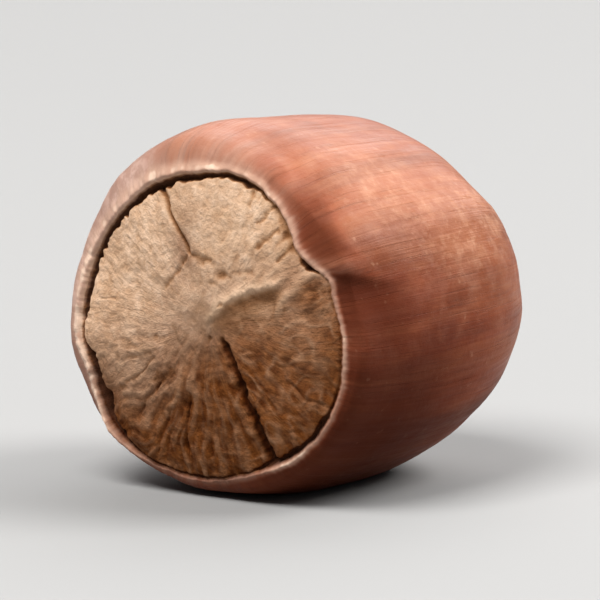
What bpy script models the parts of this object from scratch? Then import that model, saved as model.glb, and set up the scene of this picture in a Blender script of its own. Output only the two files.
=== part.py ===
"""A raw hazelnut in its shell, as picked and husked, lying on its side on a small flat spot.

The nut grew as one piece, so it is one closed solid. Its axis runs along Y: the pale base scar (the hilum,
where the nut sat in its husk) faces -Y and the pointed tip faces +Y. Z is up. X is the broad side of the
slightly flattened shell. The origin is under the middle of the nut, on the surface that it lies on.

The surface is one turned line, from the middle of the scar, over the shell's lip, round the belly and out to
the tip. Rules in the angle round the axis make it oval, ribbed and uneven, set the scar's outline, and sink
the scar behind the lip. The flat spot is then cut from the underside.
"""

import math

import bmesh
import bpy
import numpy as np

MM = 0.001

# Driving dimensions, in millimetres
HALF_WIDTH = 9.25  # X, half of the broad side
HALF_THICKNESS = 8.55  # Z, half of the narrow side
SCAR_POLE = 8.95  # from the widest girth to the middle of the scar
SCAR_CROWN = 2.05  # how much the scar's dome falls back, at the girth's full radius
BASE_DEPTH = 13.4  # of the oval that the base half of the shell follows, before the scar cuts it short
BASE_POWER = 2.75
SHOULDER = 0.9  # rounding where the base half turns into the scar's dome
TIP_DEPTH = 9.8  # of the oval that the tip half follows
TIP_POWER = 2.35
BEAK_HEIGHT = 1.1  # the point that stands on the tip
BEAK_WIDTH = 0.24  # of the girth's radius
RIM_RADIUS = 7.65  # of the scar, to the edge of the shell
RIM_SHIFT = 0.47  # how far the scar's middle lies towards the lower right
RIM_OVAL = 0.21  # how much more the scar spreads to both sides
SCAR_SINK = 0.22  # how far the scar lies behind the shell
CREVICE_DEPTH = 0.42  # of the dark line between scar and lip, below the shell
CREVICE_WIDTH = 0.5
LIP_HEIGHT = 0.12
LIP_WIDTH = 0.9
FLAT_DEPTH = 0.26  # how much of the underside the flat spot takes

# How finely the surface is divided
ROUND = 72  # steps round the axis
SCAR_RINGS = 8
RIM_RINGS = 6
SHELL_RINGS = 26
LINE_STEPS = 4000  # points of the turned line, before it is divided evenly

SHELL, SCAR = 0, 1  # the two materials' places on the mesh


def bell(angle, middle, before, after):
    """1 at the middle angle, falling away over so many degrees on either side of it."""
    d = (np.degrees(angle) - middle + 180.0) % 360.0 - 180.0
    return np.exp(-((d / np.where(d < 0, before, after)) ** 2))


def soft_max(a, b, k):
    """The larger of a and b, with the corner between them rounded over a height of k."""
    h = np.clip(0.5 + 0.5 * (a - b) / k, 0.0, 1.0)
    return b * (1 - h) + a * h + k * h * (1 - h)


def turned_line():
    """(rho, y, length so far) from the scar's middle to the tip. rho is the share of the girth's radius."""
    turn = np.linspace(0.0, math.pi, LINE_STEPS)
    rho = np.sin(turn)
    base = -BASE_DEPTH * (1 - rho**BASE_POWER) ** (1 / BASE_POWER)
    dome = SCAR_CROWN * rho**2 - SCAR_POLE
    tip = TIP_DEPTH * (1 - rho**TIP_POWER) ** (1 / TIP_POWER)
    beak = BEAK_HEIGHT * np.exp(-((rho / BEAK_WIDTH) ** 1.6))
    y = np.where(turn < math.pi / 2, soft_max(base, dome, SHOULDER), tip + beak)
    step = np.hypot(np.diff(rho) * HALF_WIDTH, np.diff(y))
    return rho, y, np.concatenate([[0.0], np.cumsum(step)])


LINE_RHO, LINE_Y, LINE_LENGTH = turned_line()
WHOLE = LINE_LENGTH[-1]


def rim_radius(u):
    """The scar's outline: broad, drawn in at the upper right by a fold of the shell, and fuller below it."""
    return (
        RIM_RADIUS
        + RIM_SHIFT * np.cos(u - 5.23)
        + RIM_OVAL * np.cos(2 * u - 0.17)
        + 0.19 * np.cos(3 * u - 5.02)
        + 0.13 * np.cos(4 * u - 4.97)
        + 0.07 * np.cos(5 * u - 1.70)
        + 0.04 * np.cos(9 * u + 2.0)
        - 0.61 * bell(u, 33, 9, 20)
    )


def rim_length(u):
    """How far along the turned line the scar's edge lies, at each angle."""
    half = np.hypot(HALF_WIDTH * np.cos(u), HALF_THICKNESS * np.sin(u))
    near = LINE_LENGTH < 0.45 * WHOLE
    return np.interp(rim_radius(u) / half, LINE_RHO[near], LINE_LENGTH[near])


def ribs(u, s):
    """The shell's uneven girth and its broad, shallow ribs, in millimetres, fading out at both ends."""
    share = s / WHOLE
    belly = np.sin(math.pi * np.clip(share, 0, 1)) ** 1.2
    broad = 0.13 * np.cos(3 * u + 0.7) + 0.08 * np.cos(4 * u - 1.1) + 0.05 * np.cos(7 * u + 2.3)
    narrow = 0.030 * np.cos(11 * u + 0.4) + 0.022 * np.cos(16 * u + 1.9)
    return belly * (broad + narrow)


def relief(u, s, edge):
    """What stands out of the turned surface at angle u and length s, in millimetres. edge is the scar's."""
    out = s - edge
    scar = -SCAR_SINK * np.clip(-out / (0.8 * CREVICE_WIDTH), 0, 1)
    crevice = -CREVICE_DEPTH * np.exp(-(((out + 0.5 * CREVICE_WIDTH) / (0.36 * CREVICE_WIDTH)) ** 2))
    lip = LIP_HEIGHT * np.exp(-(((out - 0.35 * LIP_WIDTH) / (0.42 * LIP_WIDTH)) ** 2))
    # The shell is drawn in behind its lip, most of all on the upper right, and a fold runs back from there.
    collar = -(0.06 + 0.26 * bell(u, 50, 34, 40)) * np.exp(-(((out - 2.1) / 1.25) ** 2))
    back = (out / (np.abs(out) + 0.5)).clip(0, 1) * np.exp(-((np.clip(out - 0.6, 0, None) / 2.8) ** 2))
    fold = (0.16 * bell(u, 33, 9, 12) - 0.34 * bell(u, 18, 8, 9)) * back
    # The top is fuller than the turned line behind the scar.
    full = 0.80 * bell(u, 100, 50, 45) - 0.27 * bell(u, 140, 30, 30)
    full = full * np.exp(-(((s - 0.30 * WHOLE) / (0.15 * WHOLE)) ** 2))
    return scar + crevice + lip + collar + fold + full + ribs(u, s)


def surface(u, s, edge):
    """Points of the nut at angle u and length s along the turned line, in millimetres, as rows of x, y, z."""
    rho = np.interp(s, LINE_LENGTH, LINE_RHO)
    y = np.interp(s, LINE_LENGTH, LINE_Y)
    ahead, behind = np.clip(s + 0.02, 0, WHOLE), np.clip(s - 0.02, 0, WHOLE)
    d_rho = HALF_WIDTH * (np.interp(ahead, LINE_LENGTH, LINE_RHO) - np.interp(behind, LINE_LENGTH, LINE_RHO))
    d_y = np.interp(ahead, LINE_LENGTH, LINE_Y) - np.interp(behind, LINE_LENGTH, LINE_Y)
    size = np.hypot(d_rho, d_y)
    out_r, out_y = d_y / size, -d_rho / size
    high = relief(u, s, edge)
    x = (rho * HALF_WIDTH + out_r * high) * np.cos(u)
    z = (rho * HALF_THICKNESS + out_r * high) * np.sin(u)
    # The tip stands a little off the axis, as it does on most nuts.
    lean = np.clip(y / TIP_DEPTH, 0, 1) ** 2
    return np.stack([x + 0.25 * lean, y + out_y * high, z + 0.2 * lean], axis=-1)


def ring_lengths(edge):
    """Lengths along the turned line of each ring, at each angle: close together at the rim, where the crevice is."""
    scar = (np.arange(1, SCAR_RINGS + 1) / SCAR_RINGS)[:, None] ** 0.85 * (edge - 1.25 * CREVICE_WIDTH)
    across = np.linspace(-0.85 * CREVICE_WIDTH, 1.15 * LIP_WIDTH, RIM_RINGS)[:, None] + edge
    share = (np.arange(1, SHELL_RINGS + 1) / (SHELL_RINGS + 1))[:, None] ** 0.97
    start = edge + 1.15 * LIP_WIDTH
    shell = start + share * (WHOLE - start)
    return np.concatenate([scar, across, shell])


def build_nut():
    u = np.arange(ROUND) * 2 * math.pi / ROUND
    edge = rim_length(u)
    lengths = ring_lengths(edge)
    rings = surface(np.broadcast_to(u, lengths.shape), lengths, np.broadcast_to(edge, lengths.shape))
    ends = surface(np.zeros(2), np.array([0.0, WHOLE]), np.full(2, edge.mean()))

    bm = bmesh.new()
    rows = [[bm.verts.new(p * MM) for p in ring] for ring in rings]
    scar_middle, tip = (bm.verts.new(p * MM) for p in ends)
    for i in range(ROUND):
        j = (i + 1) % ROUND
        bm.faces.new((scar_middle, rows[0][i], rows[0][j])).material_index = SCAR
        bm.faces.new((tip, rows[-1][j], rows[-1][i])).material_index = SHELL
        for k, (near, far) in enumerate(zip(rows, rows[1:])):
            made = bm.faces.new((near[i], far[i], far[j], near[j]))
            made.material_index = SCAR if k <= SCAR_RINGS else SHELL

    # The flat spot that the nut rests on, cut from its lowest side
    low = min(v.co.z for v in bm.verts) + FLAT_DEPTH * MM
    bmesh.ops.bisect_plane(
        bm,
        geom=bm.verts[:] + bm.edges[:] + bm.faces[:],
        dist=0.02 * MM,
        plane_co=(0, 0, low),
        plane_no=(0, 0, -1),
        clear_outer=True,
    )
    bmesh.ops.holes_fill(bm, edges=[e for e in bm.edges if e.is_boundary], sides=0)
    bmesh.ops.recalc_face_normals(bm, faces=bm.faces[:])

    # The origin goes under the middle of the nut, on the plane of the flat spot.
    co = np.array([v.co for v in bm.verts])
    middle = (co.min(0) + co.max(0)) / 2
    bmesh.ops.translate(bm, verts=bm.verts[:], vec=(-middle[0], -middle[1], -low))
    for v in bm.verts:
        if abs(v.co.z) < 0.03 * MM:
            v.co.z = 0.0

    mesh = bpy.data.meshes.new("hazelnut")
    bm.to_mesh(mesh)
    bm.free()
    mesh.shade_smooth()
    mesh.set_sharp_from_angle(angle=math.radians(40))
    return mesh


def shell_material():
    made = bpy.data.materials.new("hazelnut_shell")
    made.use_nodes = True
    principled = made.node_tree.nodes["Principled BSDF"]
    principled.inputs["Base Color"].default_value = (0.30, 0.105, 0.045, 1.0)
    principled.inputs["Roughness"].default_value = 0.45
    principled.inputs["Metallic"].default_value = 0.0
    return made


def scar_material():
    made = bpy.data.materials.new("hazelnut_scar")
    made.use_nodes = True
    principled = made.node_tree.nodes["Principled BSDF"]
    principled.inputs["Base Color"].default_value = (0.46, 0.29, 0.17, 1.0)
    principled.inputs["Roughness"].default_value = 0.9
    principled.inputs["Metallic"].default_value = 0.0
    return made


def main():
    for old in list(bpy.data.objects):
        bpy.data.objects.remove(old, do_unlink=True)
    mesh = build_nut()
    mesh.materials.append(shell_material())
    mesh.materials.append(scar_material())
    nut = bpy.data.objects.new("hazelnut", mesh)
    bpy.context.scene.collection.objects.link(nut)


main()
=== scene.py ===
"""The looks of a raw hazelnut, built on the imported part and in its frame.

The nut lies on its side: the pale base scar faces -Y, the tip +Y, and Z is up. Its surface follows the same rules as
the CAD part, on a finer grid and with the detail that the CAD part leaves out: the scar's radial fibres, cracks and
inner fold, the dark crevice and the thin lip round it, the shell's fine lengthwise lines, and the downy tip. All
lengths in the shape rules are in millimetres.
"""

import math

import bpy
import numpy as np
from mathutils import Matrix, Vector


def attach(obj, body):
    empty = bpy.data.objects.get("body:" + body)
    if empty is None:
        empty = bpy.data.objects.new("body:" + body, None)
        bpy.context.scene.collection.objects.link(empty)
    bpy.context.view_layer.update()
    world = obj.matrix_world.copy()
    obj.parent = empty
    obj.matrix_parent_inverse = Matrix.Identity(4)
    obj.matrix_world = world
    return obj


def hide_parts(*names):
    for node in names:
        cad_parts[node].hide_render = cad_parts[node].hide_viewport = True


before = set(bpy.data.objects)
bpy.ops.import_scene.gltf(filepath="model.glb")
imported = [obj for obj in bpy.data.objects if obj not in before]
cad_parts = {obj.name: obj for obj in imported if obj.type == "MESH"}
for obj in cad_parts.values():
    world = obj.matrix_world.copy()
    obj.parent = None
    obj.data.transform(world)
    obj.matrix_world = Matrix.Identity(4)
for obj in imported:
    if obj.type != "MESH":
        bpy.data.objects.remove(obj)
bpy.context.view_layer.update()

MM = 0.001

# ---------------------------------------------------------------------------------------------------------------
# The part's own shape, by the same rules and dimensions as the CAD part

HALF_WIDTH = 9.25
HALF_THICKNESS = 8.55
SCAR_POLE = 8.95
SCAR_CROWN = 2.05
BASE_DEPTH = 13.4
BASE_POWER = 2.75
SHOULDER = 0.9
TIP_DEPTH = 9.8
TIP_POWER = 2.35
BEAK_HEIGHT = 1.1
BEAK_WIDTH = 0.24
RIM_RADIUS = 7.65
RIM_SHIFT = 0.47
RIM_OVAL = 0.21
SCAR_SINK = 0.22
CREVICE_DEPTH = 0.42
CREVICE_WIDTH = 0.5
LIP_HEIGHT = 0.12
LIP_WIDTH = 0.9
FLAT_DEPTH = 0.26
LINE_STEPS = 4000

# The CAD part's grid, which sets where its lowest point and its middle are
CAD_ROUND, CAD_SCAR_RINGS, CAD_RIM_RINGS, CAD_SHELL_RINGS = 72, 8, 6, 26

# This model's own grid: close together across the crevice and the lip, with fewer points round towards both ends
ROUND = 640
SCAR_RINGS = 100
RIM_RINGS = 27
LIP_RINGS = 10
SHELL_RINGS = 104
RIM_FROM, RIM_TO = -0.8, 0.55
LIP_TO = 1.9


def bell(angle, middle, before, after):
    """1 at the middle angle, falling away over so many degrees on either side of it."""
    d = (np.degrees(angle) - middle + 180.0) % 360.0 - 180.0
    return np.exp(-((d / np.where(d < 0, before, after)) ** 2))


def soft_max(a, b, k):
    """The larger of a and b, with the corner between them rounded over a height of k."""
    h = np.clip(0.5 + 0.5 * (a - b) / k, 0.0, 1.0)
    return b * (1 - h) + a * h + k * h * (1 - h)


def turned_line():
    """(rho, y, length so far) from the scar's middle to the tip. rho is the share of the girth's radius."""
    turn = np.linspace(0.0, math.pi, LINE_STEPS)
    rho = np.sin(turn)
    base = -BASE_DEPTH * (1 - rho**BASE_POWER) ** (1 / BASE_POWER)
    dome = SCAR_CROWN * rho**2 - SCAR_POLE
    tip = TIP_DEPTH * (1 - rho**TIP_POWER) ** (1 / TIP_POWER)
    beak = BEAK_HEIGHT * np.exp(-((rho / BEAK_WIDTH) ** 1.6))
    y = np.where(turn < math.pi / 2, soft_max(base, dome, SHOULDER), tip + beak)
    step = np.hypot(np.diff(rho) * HALF_WIDTH, np.diff(y))
    return rho, y, np.concatenate([[0.0], np.cumsum(step)])


LINE_RHO, LINE_Y, LINE_LENGTH = turned_line()
WHOLE = LINE_LENGTH[-1]


def rim_radius(u):
    """The scar's outline: broad, drawn in at the upper right by a fold of the shell, and fuller below it."""
    return (
        RIM_RADIUS
        + RIM_SHIFT * np.cos(u - 5.23)
        + RIM_OVAL * np.cos(2 * u - 0.17)
        + 0.19 * np.cos(3 * u - 5.02)
        + 0.13 * np.cos(4 * u - 4.97)
        + 0.07 * np.cos(5 * u - 1.70)
        + 0.04 * np.cos(9 * u + 2.0)
        - 0.61 * bell(u, 33, 9, 20)
    )


def rim_length(u):
    """How far along the turned line the scar's edge lies, at each angle."""
    half = np.hypot(HALF_WIDTH * np.cos(u), HALF_THICKNESS * np.sin(u))
    near = LINE_LENGTH < 0.45 * WHOLE
    return np.interp(rim_radius(u) / half, LINE_RHO[near], LINE_LENGTH[near])


def ribs(u, s):
    """The shell's uneven girth and its broad, shallow ribs, fading out at both ends."""
    share = s / WHOLE
    belly = np.sin(math.pi * np.clip(share, 0, 1)) ** 1.2
    broad = 0.13 * np.cos(3 * u + 0.7) + 0.08 * np.cos(4 * u - 1.1) + 0.05 * np.cos(7 * u + 2.3)
    narrow = 0.030 * np.cos(11 * u + 0.4) + 0.022 * np.cos(16 * u + 1.9)
    return belly * (broad + narrow)


def body(u, s, out):
    """The broad relief of the shell: the collar behind the lip, the fold that runs back from the notch, the fuller
    top, and the ribs."""
    collar = -(0.06 + 0.26 * bell(u, 50, 34, 40)) * np.exp(-(((out - 2.1) / 1.25) ** 2))
    back = (out / (np.abs(out) + 0.5)).clip(0, 1) * np.exp(-((np.clip(out - 0.6, 0, None) / 2.8) ** 2))
    fold = (0.16 * bell(u, 33, 9, 12) - 0.34 * bell(u, 18, 8, 9)) * back
    full = 0.80 * bell(u, 100, 50, 45) - 0.27 * bell(u, 140, 30, 30)
    full = full * np.exp(-(((s - 0.30 * WHOLE) / (0.15 * WHOLE)) ** 2))
    return collar + fold + full + ribs(u, s)


def cad_relief(u, s, edge):
    """The CAD part's own relief, used only to find where that part's lowest point and middle are."""
    out = s - edge
    scar = -SCAR_SINK * np.clip(-out / (0.8 * CREVICE_WIDTH), 0, 1)
    crevice = -CREVICE_DEPTH * np.exp(-(((out + 0.5 * CREVICE_WIDTH) / (0.36 * CREVICE_WIDTH)) ** 2))
    lip = LIP_HEIGHT * np.exp(-(((out - 0.35 * LIP_WIDTH) / (0.42 * LIP_WIDTH)) ** 2))
    return scar + crevice + lip + body(u, s, out)


def surface(u, s, high):
    """Points at angle u and length s along the turned line, standing out of it by high, as rows of x, y, z."""
    rho = np.interp(s, LINE_LENGTH, LINE_RHO)
    y = np.interp(s, LINE_LENGTH, LINE_Y)
    ahead, behind = np.clip(s + 0.02, 0, WHOLE), np.clip(s - 0.02, 0, WHOLE)
    d_rho = HALF_WIDTH * (np.interp(ahead, LINE_LENGTH, LINE_RHO) - np.interp(behind, LINE_LENGTH, LINE_RHO))
    d_y = np.interp(ahead, LINE_LENGTH, LINE_Y) - np.interp(behind, LINE_LENGTH, LINE_Y)
    size = np.hypot(d_rho, d_y)
    out_r, out_y = d_y / size, -d_rho / size
    x = (rho * HALF_WIDTH + out_r * high) * np.cos(u)
    z = (rho * HALF_THICKNESS + out_r * high) * np.sin(u)
    lean = np.clip(y / TIP_DEPTH, 0, 1) ** 2
    return np.stack([x + 0.25 * lean, y + out_y * high, z + 0.2 * lean], axis=-1)


def cad_origin():
    """(middle x, middle y, height of the flat spot) of the CAD part before it was moved to its origin."""
    u = np.arange(CAD_ROUND) * 2 * math.pi / CAD_ROUND
    edge = rim_length(u)
    scar = (np.arange(1, CAD_SCAR_RINGS + 1) / CAD_SCAR_RINGS)[:, None] ** 0.85 * (edge - 1.25 * CREVICE_WIDTH)
    across = np.linspace(-0.85 * CREVICE_WIDTH, 1.15 * LIP_WIDTH, CAD_RIM_RINGS)[:, None] + edge
    share = (np.arange(1, CAD_SHELL_RINGS + 1) / (CAD_SHELL_RINGS + 1))[:, None] ** 0.97
    start = edge + 1.15 * LIP_WIDTH
    s = np.concatenate([scar, across, start + share * (WHOLE - start)])
    uu, ee = np.broadcast_to(u, s.shape), np.broadcast_to(edge, s.shape)
    points = surface(uu, s, cad_relief(uu, s, ee)).reshape(-1, 3)
    ends = np.array([0.0, WHOLE])
    ends = surface(np.zeros(2), ends, cad_relief(np.zeros(2), ends, np.full(2, edge.mean())))
    points = np.concatenate([points, ends])
    low, high = points.min(0), points.max(0)
    return (low[0] + high[0]) / 2, (low[1] + high[1]) / 2, low[2] + FLAT_DEPTH


# ---------------------------------------------------------------------------------------------------------------
# Smooth noise, the same on every run


def scrambled(q, salt):
    """A whole number from 0 to 2**32 - 1 for each row of three whole numbers."""
    q = q.astype(np.uint64)
    n = q[..., 0] * np.uint64(374761393) + q[..., 1] * np.uint64(668265263) + q[..., 2] * np.uint64(2246822519)
    n = (n + np.uint64(salt * 974634777)) & np.uint64(0xFFFFFFFF)
    n = ((n ^ (n >> np.uint64(13))) * np.uint64(1274126177)) & np.uint64(0xFFFFFFFF)
    n = ((n ^ (n >> np.uint64(16))) * np.uint64(2654435769)) & np.uint64(0xFFFFFFFF)
    return n ^ (n >> np.uint64(15))


def noise(p, salt=0):
    """Gradient noise between about -1 and 1 at each point, one bump to a unit."""
    base = np.floor(p)
    f = p - base
    base = base.astype(np.int64)
    w = f * f * f * (f * (f * 6 - 15) + 10)
    total = np.zeros(p.shape[:-1])
    for corner in range(8):
        c = np.array([corner & 1, corner >> 1 & 1, corner >> 2 & 1])
        h = scrambled(base + c, salt)
        d = f - c
        dot = np.zeros(p.shape[:-1])
        for axis in range(3):
            slope = ((h >> np.uint64(10 * axis)) & np.uint64(1023)).astype(float) / 511.5 - 1
            dot += slope * d[..., axis]
        total += dot * np.prod(np.where(c == 1, w, 1 - w), axis=-1)
    return total * 1.5


def layered(p, layers, salt=0, fade=0.5):
    """Noise in layers, each half the size of the one before."""
    total, size = 0.0, 1.0
    for i in range(layers):
        total = total + size * noise(p * 2.0**i, salt + 17 * i)
        size *= fade
    return total


def step(x, low, high):
    """0 below low, 1 above high, smooth between."""
    t = np.clip((x - low) / (high - low), 0, 1)
    return t * t * (3 - 2 * t)


# ---------------------------------------------------------------------------------------------------------------
# The fine relief


def round_axis(u, s, times, along):
    """Coordinates for noise that runs lengthwise: so many bumps to a radian, and one bump to so many mm along."""
    return np.stack([np.cos(u) * times, np.sin(u) * times, s / along], axis=-1)


def from_path(x, z, path):
    """(distance to, share of the way along) a path of (angle in degrees, radius) points on the scar."""
    points = np.array([(r * math.cos(math.radians(a)), r * math.sin(math.radians(a))) for a, r in path])
    lengths = np.hypot(*np.diff(points, axis=0).T)
    before = np.concatenate([[0.0], np.cumsum(lengths)])
    best = np.full(x.shape, 1e9)
    way = np.zeros(x.shape)
    side = np.zeros(x.shape)
    for i, length in enumerate(lengths):
        (ax, az), (bx, bz) = points[i], points[i + 1]
        tx, tz = (bx - ax) / length, (bz - az) / length
        t = np.clip((x - ax) * tx + (z - az) * tz, 0, length)
        dx, dz = x - ax - tx * t, z - az - tz * t
        d = np.hypot(dx, dz)
        nearer = d < best
        best = np.where(nearer, d, best)
        way = np.where(nearer, (before[i] + t) / before[-1], way)
        side = np.where(nearer, np.sign(tx * dz - tz * dx), side)
    return best, way, side


# Cracks in the scar: path, depth, width at the start, width at the end, how ragged
CRACKS = [
    ([(110, 7.3), (109, 6.4), (107, 5.5), (103, 4.6), (99, 3.9), (94, 3.3)], 0.20, 0.150, 0.125, 0.10),
    ([(97, 3.5), (87, 3.3), (74, 3.4)], 0.12, 0.150, 0.170, 0.12),
    ([(97, 3.7), (111, 2.9), (129, 2.6), (144, 2.5)], 0.10, 0.080, 0.130, 0.15),
    ([(352, 1.3), (341, 1.8), (327, 2.5), (316, 3.3), (309, 4.2), (306, 5.1), (303, 6.1), (300, 8.0)], 0.50, 0.120, 0.205, 0.16),
    ([(66, 6.3), (68, 7.2)], 0.10, 0.110, 0.140, 0.14),
    ([(59, 5.9), (58, 6.6), (57, 7.3)], 0.12, 0.110, 0.150, 0.14),
    ([(52, 5.0), (51, 5.7), (50, 6.6)], 0.13, 0.120, 0.150, 0.14),
    ([(45, 5.8), (46, 6.7)], 0.10, 0.100, 0.140, 0.14),
    ([(39, 5.4), (40, 6.1), (41, 6.7)], 0.13, 0.120, 0.150, 0.14),
    ([(213, 2.8), (216, 4.1), (214, 5.6)], 0.09, 0.08, 0.10, 0.09),
    ([(231, 3.6), (229, 5.2), (230, 6.2)], 0.09, 0.08, 0.10, 0.09),
    ([(247, 4.2), (244, 6.0), (245, 7.2)], 0.09, 0.07, 0.10, 0.09),
    ([(262, 3.0), (258, 5.0), (260, 6.8)], 0.10, 0.06, 0.08, 0.09),
    ([(170, 5.2), (174, 6.4)], 0.07, 0.06, 0.08, 0.15),
    ([(338, 5.2), (334, 6.6), (336, 7.8)], 0.10, 0.06, 0.08, 0.15),
]
# The pale fold inside the scar, from its middle out to the notch, and the strand that meets it there
SCAR_FOLD = [(10, 0.4), (35, 0.9), (41, 1.6), (44, 2.15), (39, 2.9), (36, 3.6), (32.5, 4.3), (30.8, 5.0), (29.8, 5.7)]
SCAR_STRAND = [(16, 4.3), (18, 4.7), (22, 5.3), (24.5, 5.8), (26.5, 6.5), (28, 7.3)]
FIBRE_X, FIBRE_Z = 0.85, 0.5  # where the scar's fibres run out from

# Round the rim, by the angle in degrees: how open the crevice is, how pale the lip's corner is, and how wide that is
CREVICE_OPEN = [(0, 0.12), (14, 0.12), (21, 0.10), (27, 0.05), (29.5, 0.45), (31.5, 0.95), (34, 0.40), (38, 0.08), (46, 0.05),
                (58, 0.06), (66, 0.25), (74, 0.55), (84, 0.70), (100, 0.72), (109, 0.95), (116, 0.80), (140, 0.82),
                (156, 0.85), (165, 0.68), (174, 0.95), (180, 1.00), (184.5, 0.20), (188, 0.30), (192, 0.45), (197, 1.00),
                (204, 1.35), (211, 1.75), (218, 1.80), (225, 0.60), (240, 0.15), (262, 0.20), (288, 0.15), (299, 0.40),
                (308, 0.75), (316, 0.45), (324, 0.70), (333, 0.25), (346, 0.12)]
LIP_PALE = [(2, 0.80), (8, 0.50), (15, 0.30), (22, 0.35), (28, 0.70), (45, 0.68), (70, 0.80), (90, 0.86), (105, 0.86),
            (118, 0.84), (132, 0.80), (150, 0.80), (174, 0.95), (186, 1.20), (205, 1.15), (216, 0.85), (223, 1.10),
            (234, 0.45), (250, 0.12), (275, 0.10), (292, 0.30), (296, 0.40), (303, 1.00), (308, 1.10), (314, 0.70),
            (320, 0.55), (330, 0.35), (341, 0.35), (347, 0.60), (354, 0.75)]
LIP_HIGH = [(0, 0.03), (20, 0.04), (30, 0.08), (60, 0.09), (100, 0.09), (150, 0.10), (186, 0.13), (215, 0.09), (240, 0.03),
            (285, 0.02), (299, 0.08), (313, 0.04), (325, 0.05), (340, 0.03)]
LIP_THICK = [(0, 0.12), (14, 0.10), (20, 0.12), (28, 0.18), (42, 0.22), (62, 0.24), (80, 0.30), (95, 0.38), (110, 0.46),
             (125, 0.50), (150, 0.50), (168, 0.42), (178, 0.35), (186, 0.33), (204, 0.27), (224, 0.14), (262, 0.05),
             (292, 0.08), (299, 0.14), (308, 0.16), (314, 0.12), (338, 0.10)]
# How many mm the scar's edge lies outside the CAD part's, round the rim
EDGE_SHIFT = [(0, -0.52), (6, -0.47), (15.5, -0.46), (18, -0.36), (20.5, -0.20), (24, 0.04), (26.8, 0.15), (28.8, 0.12),
              (31, 0.04), (34, -0.05), (41, -0.13), (50, -0.05), (58, 0.0), (80, 0.0), (92, -0.28), (104, -0.25),
              (115, -0.05), (125, 0.0), (190, 0.0), (196, -0.20), (203, -0.35), (210, -0.15), (224, -0.10), (235, -0.30),
              (250, -0.40), (275, -0.40), (285, -0.50), (296, -0.60), (307, -0.75), (318, -0.75), (330, -0.70),
              (342, -0.72), (352, -0.68)]


def around(u, table):
    """A value read from (angle in degrees, value) pairs, all the way round."""
    angles, values = np.array(table, float).T
    return np.interp(np.degrees(u) % 360, angles, values, period=360)


def crevice_strength(u):
    """How open the crevice is: 1.9 at the lower left, less over the top, nearly closed on the right."""
    beads = 1 + 0.40 * noise(round_axis(u, 0 * u, 7.0, 1.0), 5) + 0.30 * noise(round_axis(u, 0 * u, 21.0, 1.0), 6)
    return np.clip(around(u, CREVICE_OPEN) * beads, 0.02, 1.9)


def fibre_angle(x, z, p):
    """(angle, distance) of a point on the scar from the middle that its fibres run out from, with their bend."""
    mx, mz = x - FIBRE_X, z - FIBRE_Z
    v, q = np.arctan2(mz, mx), np.hypot(mx, mz)
    return v + 0.07 * noise(p / 1.6, 41) + 0.12 * noise(p / 4.0, 42), q


def fibre_noise(v, q, across, along, salt):
    """Noise in strokes that run out from the fibres' middle, so many mm wide and long at any distance from it."""
    level = np.log2(np.clip(q, 0.25, None) / across)
    total, power = np.zeros_like(q), np.zeros_like(q)
    for n in range(math.floor(level.min()), math.floor(level.max()) + 2):
        share = np.clip(1 - np.abs(level - n), 0, 1)
        near = share > 0
        if near.any():
            at = round_axis(v[near], q[near] + 3.7 * n, 2.0**n, along)
            total[near] += share[near] * noise(at, salt + 7 * n)
            power += share**2
    return total / np.sqrt(power)


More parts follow.
